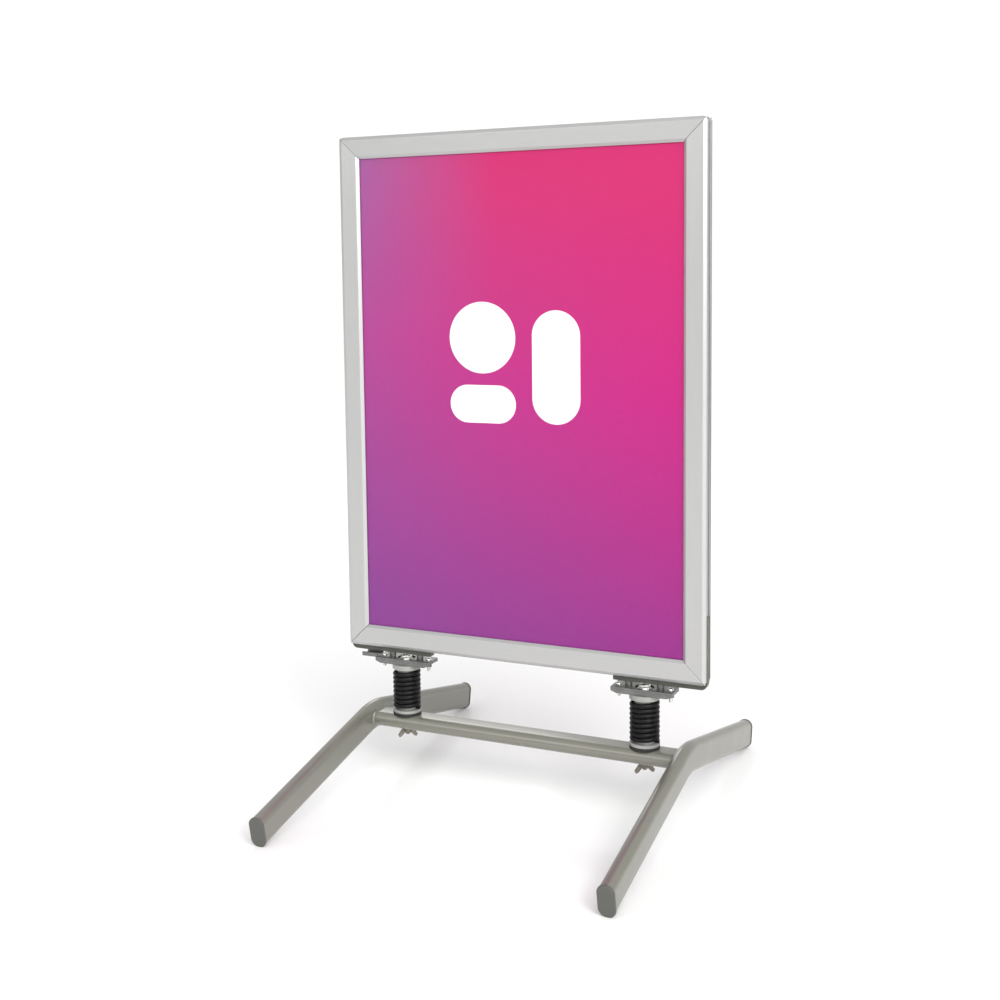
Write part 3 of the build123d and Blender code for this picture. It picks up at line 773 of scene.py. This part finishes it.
def shank(place, bolt, bottom, top):
    """Round shank whose lower end has a helical thread."""
    radius, pitch = bolt.diameter / 2, bolt.pitch
    depth = pitch * THREAD_DEPTH
    core = cylinder("shank", place, radius - depth, bottom, top)
    soften(core, depth * TIP_BEVEL, 1, 60.0)
    plain = cylinder("plain_shank", place, radius, bottom + bolt.thread_length, top)
    bpy.ops.mesh.primitive_circle_add(vertices=3, radius=depth)
    ridge = new_piece("thread")
    foot, half_foot = radius - depth * THREAD_SINK, pitch * THREAD_FOOT
    outline = ((radius, 0.0), (foot, half_foot), (foot, -half_foot))
    for corner, (reach, rise) in zip(ridge.data.vertices, outline):
        corner.co = (reach, 0, rise)
    turns = int((bolt.thread_length - pitch) / pitch)
    apply_modifier(
        ridge,
        "SCREW",
        angle=FULL_TURN * turns,
        screw_offset=pitch * turns,
        steps=THREAD_STEPS * turns,
        render_steps=THREAD_STEPS * turns,
    )
    edit(ridge)
    bpy.ops.mesh.fill_holes(sides=3)
    bpy.ops.mesh.normals_make_consistent(inside=False)
    close_edit()
    ridge.location = (place.x, place.y, bottom + pitch * THREAD_START)
    return [core, plain, ridge]


def finished_bolt(name, parts):
    """Join a bolt's parts, face everything outwards and shade it smooth."""
    for part in parts:
        settle(part)
    bolt = joined(name, parts)
    edit(bolt)
    bpy.ops.mesh.normals_make_consistent(inside=False)
    close_edit()
    smooth(bolt)
    return bolt


def hex_bolt(node, bolt):
    """A threaded bolt with a hex head, filling a frame node's box."""
    low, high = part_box(node)
    place = middle_of(node)
    head_bottom = high.z - bolt.head_height
    parts = [hex_head(place, high.y - low.y, head_bottom, high.z)]
    parts += shank(place, bolt, low.z, head_bottom)
    return finished_bolt(node + "_finished", parts)


# ---- Operators ---------------------------------------------------------------------
class SIGN_OT_stage(bpy.types.Operator):
    """Set up the floor, the lights and the camera"""

    bl_idname = "sign.stage"
    bl_label = "Stage"

    def execute(self, context):
        settings = context.scene.sign_stage
        bpy.ops.object.select_all(action="DESELECT")
        bpy.ops.mesh.primitive_plane_add(size=settings.floor_size, location=(0, 0, 0))
        floor = new_piece("floor")
        floor.data.materials.append(polished_floor(settings))

        world = bpy.data.worlds.new("surround")
        context.scene.world = world
        world.use_nodes = True
        nodes, links = world.node_tree.nodes, world.node_tree.links
        back = nodes["Background"]
        back.inputs["Color"].default_value = (1, 1, 1, 1)
        path = nodes.new("ShaderNodeLightPath")
        light = nodes.new("ShaderNodeMapRange")
        light.inputs["To Min"].default_value = settings.sky
        light.inputs["To Max"].default_value = settings.backdrop
        links.new(path.outputs["Is Camera Ray"], light.inputs["Value"])
        links.new(light.outputs["Result"], back.inputs["Strength"])

        self.overhead("key", settings.key, KEY_SPREAD, KEY_PLACE, KEY_AIM)
        for name, width, place, aim in SOFTBOXES:
            self.softbox(name, getattr(settings, name), width, place, aim)
        self.set_camera(settings)
        context.scene.view_settings.view_transform = "Standard"
        return {"FINISHED"}

    def set_camera(self, settings):
        """Put the camera at its eye, turned by its turn, dip and roll."""
        turn, dip, roll = settings.aim
        ahead = Vector((-sin(turn) * cos(dip), cos(turn) * cos(dip), -sin(dip)))
        level = Vector((cos(turn), sin(turn), 0))
        upward = level.cross(ahead)
        right = level * cos(roll) + upward * sin(roll)
        up = upward * cos(roll) - level * sin(roll)
        camera_data = bpy.data.cameras.new("camera")
        camera = bpy.data.objects.new("camera", camera_data)
        bpy.context.scene.collection.objects.link(camera)
        turn_matrix = Matrix((right, up, -ahead)).transposed().to_4x4()
        camera.matrix_world = Matrix.Translation(settings.eye) @ turn_matrix
        camera_data.sensor_width = SENSOR_WIDTH
        camera_data.lens = settings.focal
        camera_data.shift_x, camera_data.shift_y = settings.shift
        camera_data.clip_end = FARTHEST_SEEN
        bpy.context.scene.camera = camera

    def overhead(self, name, strength, spread, place, aim):
        """A wide even light from the place's direction, with soft shadows."""
        data = bpy.data.lights.new(name, "SUN")
        data.energy = strength
        data.angle = radians(spread)
        self.hang(data, place, aim)

    def softbox(self, name, power, size, place, aim):
        """A square area light at the place, turned to the aim."""
        data = bpy.data.lights.new(name, "AREA")
        data.energy = power
        data.size = size
        self.hang(data, place, aim)

    def hang(self, data, place, aim):
        """Put a lamp at the place, turned to the aim."""
        lamp = bpy.data.objects.new(data.name, data)
        bpy.context.scene.collection.objects.link(lamp)
        lamp.location = place
        away = Vector(aim) - Vector(place)
        lamp.rotation_euler = away.to_track_quat("-Z", "Y").to_euler()


class SIGN_OT_base(bpy.types.Operator):
    """Build the bent legs, the cross tube, its welds and the end caps"""

    bl_idname = "sign.base"
    bl_label = "Base"

    def execute(self, context):
        finishes, shapes = context.scene.sign_finish, context.scene.sign_shape
        coat = powder_coat(finishes)
        for node in ("left_leg", "right_leg", "cross_tube"):
            tube = merged_copy(node)
            smooth(tube)
            hand_over(tube, coat, "base_powder_coat", node)

        bead = merged_copy("weld_beads")
        apply_modifier(bead, "REMESH", mode="VOXEL", voxel_size=shapes.cast_grain)
        self.ripple(bead, shapes.ripple, shapes.ripple_pitch)
        smooth(bead)
        hand_over(bead, coat, "base_powder_coat", "weld_beads")

        cap_finish = moulded("end_cap", finishes.cap)
        for hand in HANDS:
            for face in FACES:
                node = f"{hand}_{face}_cap"
                cap = merged_copy(node)
                soften(cap, shapes.plate_edge, 2, 40.0)
                hand_over(cap, cap_finish, "end_cap_plastic", node)
        return {"FINISHED"}

    def ripple(self, bead, height, pitch):
        """Raise the weld's ripples, measured round the tube's section."""
        low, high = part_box("cross_tube")
        centre = (low + high) / 2
        radius = (high.z - low.z) / 2
        flat = (high.y - low.y) / 2 - radius
        normals = [v.normal.copy() for v in bead.data.vertices]
        for vertex, normal in zip(bead.data.vertices, normals):
            y, z = vertex.co.y - centre.y, vertex.co.z - centre.z
            held = max(-flat, min(flat, y))
            bend = Vector((y - held, z)).angle_signed(Vector((0, 1)), 0.0)
            around = held + radius * bend if z > 0 else -held + radius * bend
            lead = abs(vertex.co.x) * RIPPLE_SLANT
            wave = abs(sin(pi * (around + lead) / pitch))
            vertex.co += normal * (wave - 0.5) * height


class SIGN_OT_springs(bpy.types.Operator):
    """Wind the two coil springs, with ends ground flat"""

    bl_idname = "sign.springs"
    bl_label = "Coil springs"

    def execute(self, context):
        finishes, shapes = context.scene.sign_finish, context.scene.sign_shape
        black = coated_wire(finishes)
        for hand in HANDS:
            node = f"coil_spring_{hand}"
            low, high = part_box(node)
            spring = self.wound(node, low, high, shapes.wire / 2, shapes.coil_pitch)
            spring.data.materials.append(black)
            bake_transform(spring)
            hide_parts(node)
        return {"FINISHED"}

    def wound(self, node, low, high, wire_radius, pitch):
        """A round section turned up its axis by a screw, then ground at both ends."""
        centre = (low + high) / 2
        coil_radius = (high.y - low.y) / 2 - wire_radius
        grind = wire_radius * GROUND_SHARE
        bpy.ops.object.select_all(action="DESELECT")
        bpy.ops.mesh.primitive_circle_add(
            vertices=WIRE_SIDES,
            radius=wire_radius,
            location=(coil_radius, 0, 0),
            rotation=(pi / 2, 0, 0),
        )
        spring = new_piece(node + "_finished")
        settle(spring)
        rise = high.z - low.z - 2 * grind
        turns = rise / pitch
        steps = int(COIL_STEPS * turns)
        apply_modifier(
            spring,
            "SCREW",
            angle=FULL_TURN * turns,
            screw_offset=rise,
            steps=steps,
            render_steps=steps,
        )
        edit(spring)
        bpy.ops.mesh.fill_holes(sides=WIRE_SIDES)
        bpy.ops.mesh.normals_make_consistent(inside=False)
        close_edit()
        spring.location = (centre.x, centre.y, low.z + grind)
        settle(spring)
        for height, facing in ((low.z, -1), (high.z, 1)):
            edit(spring)
            bpy.ops.mesh.bisect(
                plane_co=(centre.x, centre.y, height),
                plane_no=(0, 0, facing),
                use_fill=True,
                clear_outer=True,
            )
            close_edit()
        edit(spring)
        bpy.ops.mesh.normals_make_consistent(inside=False)
        close_edit()
        smooth(spring)
        return spring


class SIGN_OT_spring_seats(bpy.types.Operator):
    """Finish the rubber rings and the plugs that hold the springs"""

    bl_idname = "sign.spring_seats"
    bl_label = "Spring seats"

    def execute(self, context):
        finishes = context.scene.sign_finish
        alloy = turned_alloy("plug_alloy", finishes.plug)
        black = rubber(finishes)
        for hand in HANDS:
            for node, finish, slot in (
                (f"rubber_base_ring_{hand}", black, "rubber"),
                (f"lower_spring_plug_{hand}", alloy, "plug_alloy"),
                (f"upper_spring_plug_{hand}", alloy, "plug_alloy"),
            ):
                seat = merged_copy(node)
                smooth(seat)
                hand_over(seat, finish, slot, node)
        return {"FINISHED"}


class SIGN_OT_base_bolts(bpy.types.Operator):
    """Build the base bolts, their washers and the cast wing nuts"""

    bl_idname = "sign.base_bolts"
    bl_label = "Base bolts"

    def execute(self, context):
        finishes, shapes = context.scene.sign_finish, context.scene.sign_shape
        dull = zinc("dull_zinc", finishes.wing_nut, 0.46, 0.7)
        for hand in HANDS:
            node = f"base_bolt_{hand}"
            hand_over(hex_bolt(node, BASE_BOLT), dull, "zinc_yellow", node)

            node = f"base_washer_{hand}"
            washer = merged_copy(node)
            soften(washer, shapes.plate_edge)
            hand_over(washer, dull, "zinc_yellow", node)

            node = f"wing_nut_{hand}"
            nut = merged_copy(node)
            apply_modifier(nut, "REMESH", mode="VOXEL", voxel_size=shapes.cast_grain)
            apply_modifier(nut, "CORRECTIVE_SMOOTH", iterations=NUT_SMOOTHING, use_only_smooth=True)
            smooth(nut)
            hand_over(nut, dull, "zinc_yellow", node)
        return {"FINISHED"}


class SIGN_OT_brackets(bpy.types.Operator):
    """Build the brackets between the springs and the frame, with their fasteners"""

    bl_idname = "sign.brackets"
    bl_label = "Brackets"

    def execute(self, context):
        finishes, shapes = context.scene.sign_finish, context.scene.sign_shape
        plate = zinc("bracket_zinc", finishes.bracket, 0.4)
        bright = zinc("bright_zinc", finishes.fastener, 0.3, 1.0)
        for hand in HANDS:
            for node in (f"spring_bracket_{hand}", f"head_plate_{hand}"):
                piece = merged_copy(node)
                soften(piece, shapes.plate_edge)
                hand_over(piece, plate, "zinc_plate", node)
            node = f"top_washer_{hand}"
            washer = merged_copy(node)
            soften(washer, shapes.plate_edge)
            hand_over(washer, bright, "bright_fastener", node)

            node = f"top_bolt_{hand}"
            hand_over(hex_bolt(node, TOP_BOLT), bright, "bright_fastener", node)

        low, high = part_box("clamp_bolts")
        head_bottom = high.z - CLAMP_BOLT.head_height
        parts = []
        for hand in HANDS:
            centre = middle_of(f"top_bolt_{hand}")
            for side in (-1, 1):
                place = Vector((centre.x + side * CLAMP_SPACING / 2, centre.y, 0))
                parts.append(button_head(place, CLAMP_HEAD, CLAMP_SOCKET, head_bottom, high.z))
                parts += shank(place, CLAMP_BOLT, low.z, head_bottom)
        bolts = finished_bolt("clamp_bolts_finished", parts)
        hand_over(bolts, bright, "bright_fastener", "clamp_bolts")

        # Clamp nuts, spacer bushes and frame and shoe screws are bright zinc, but they sit in the
        # shaded gap under the frame, so they get the darker bracket zinc instead: painted shade.
        for node in ("clamp_nuts", "spacer_bushes", "frame_screws", "shoe_screws"):
            piece = merged_copy(node)
            soften(piece, shapes.plate_edge / 2)
            hand_over(piece, plate, "bright_fastener", node)
        paint_node("fixing_strips", plate)
        return {"FINISHED"}


class SIGN_OT_corner_shoes(bpy.types.Operator):
    """Finish the painted shoes under the frame's lower corners"""

    bl_idname = "sign.corner_shoes"
    bl_label = "Corner shoes"

    def execute(self, context):
        finishes, shapes = context.scene.sign_finish, context.scene.sign_shape
        paint = shoe_paint(finishes)
        for hand in HANDS:
            node = f"corner_shoe_{hand}"
            shoe = merged_copy(node)
            soften(shoe, shapes.shoe_edge, 3)
            hand_over(shoe, paint, "shoe_dark", node)
        return {"FINISHED"}


class SIGN_OT_snap_frame(bpy.types.Operator):
    """Finish the rails, the eight snap covers, the corner keys and the leaf springs"""

    bl_idname = "sign.snap_frame"
    bl_label = "Snap frame"

    def execute(self, context):
        finishes, shapes = context.scene.sign_finish, context.scene.sign_shape
        drawn = {
            along: drawn_metal(
                f"anodised_{along.lower()}", finishes.anodised, finishes.frame_roughness, along
            )
            for along in "XZ"
        }
        for side in SIDES:
            metal = drawn["X" if side in ("bottom", "top") else "Z"]
            nodes = [f"frame_rail_{side}"] + [f"{face}_cover_{side}" for face in FACES]
            for node in nodes:
                piece = merged_copy(node)
                soften(piece, shapes.cover_edge, 3, 20.0)
                hand_over(piece, metal, "anodised", node)
        mill = zinc("mill_finish", finishes.mill, 0.45)
        steel = zinc("leaf_steel", LEAF_STEEL_COLOUR, 0.3, 1.0)
        paint_node("corner_keys", mill)
        for face in FACES:
            paint_node(f"snap_springs_{face}", steel)
        return {"FINISHED"}


class SIGN_OT_sheets(bpy.types.Operator):
    """Finish the panels, the printed posters and the clear sheets"""

    bl_idname = "sign.sheets"
    bl_label = "Sheets"

    def execute(self, context):
        finishes = context.scene.sign_finish
        board, clear = panel_sheet(finishes), clear_sheet()
        low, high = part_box("poster_front")
        artwork = printed_sheet(finishes, low, high)
        for face in FACES:
            paint_node(f"backing_panel_{face}", board)
            paint_node(f"poster_{face}", artwork)
            paint_node(f"clear_sheet_{face}", clear)
        return {"FINISHED"}


class SIGN_PT_panel(bpy.types.Panel):
    """Buttons and settings of the sign"""

    bl_idname = "SIGN_PT_panel"
    bl_label = "Pavement sign"
    bl_space_type = "VIEW_3D"
    bl_region_type = "UI"
    bl_category = "Sign"

    def draw(self, context):
        for operator in OPERATORS:
            self.layout.operator(operator.bl_idname)
        for group in (context.scene.sign_finish, context.scene.sign_shape, context.scene.sign_stage):
            box = self.layout.box()
            for key in group.__annotations__:
                box.prop(group, key)


OPERATORS = (
    SIGN_OT_stage,
    SIGN_OT_base,
    SIGN_OT_springs,
    SIGN_OT_spring_seats,
    SIGN_OT_base_bolts,
    SIGN_OT_brackets,
    SIGN_OT_corner_shoes,
    SIGN_OT_snap_frame,
    SIGN_OT_sheets,
)
SETTINGS = {
    "sign_finish": SignFinishSettings,
    "sign_shape": SignShapeSettings,
    "sign_stage": SignStageSettings,
}


def register():
    for cls in (*SETTINGS.values(), *OPERATORS, SIGN_PT_panel):
        bpy.utils.register_class(cls)
    for name, cls in SETTINGS.items():
        setattr(bpy.types.Scene, name, bpy.props.PointerProperty(type=cls))


def unregister():
    for name in SETTINGS:
        delattr(bpy.types.Scene, name)
    for cls in reversed((*SETTINGS.values(), *OPERATORS, SIGN_PT_panel)):
        bpy.utils.unregister_class(cls)


def main():
    register()
    for operator in OPERATORS:
        group, name = operator.bl_idname.split(".")
        getattr(getattr(bpy.ops, group), name)()


if __name__ == "__main__":
    main()
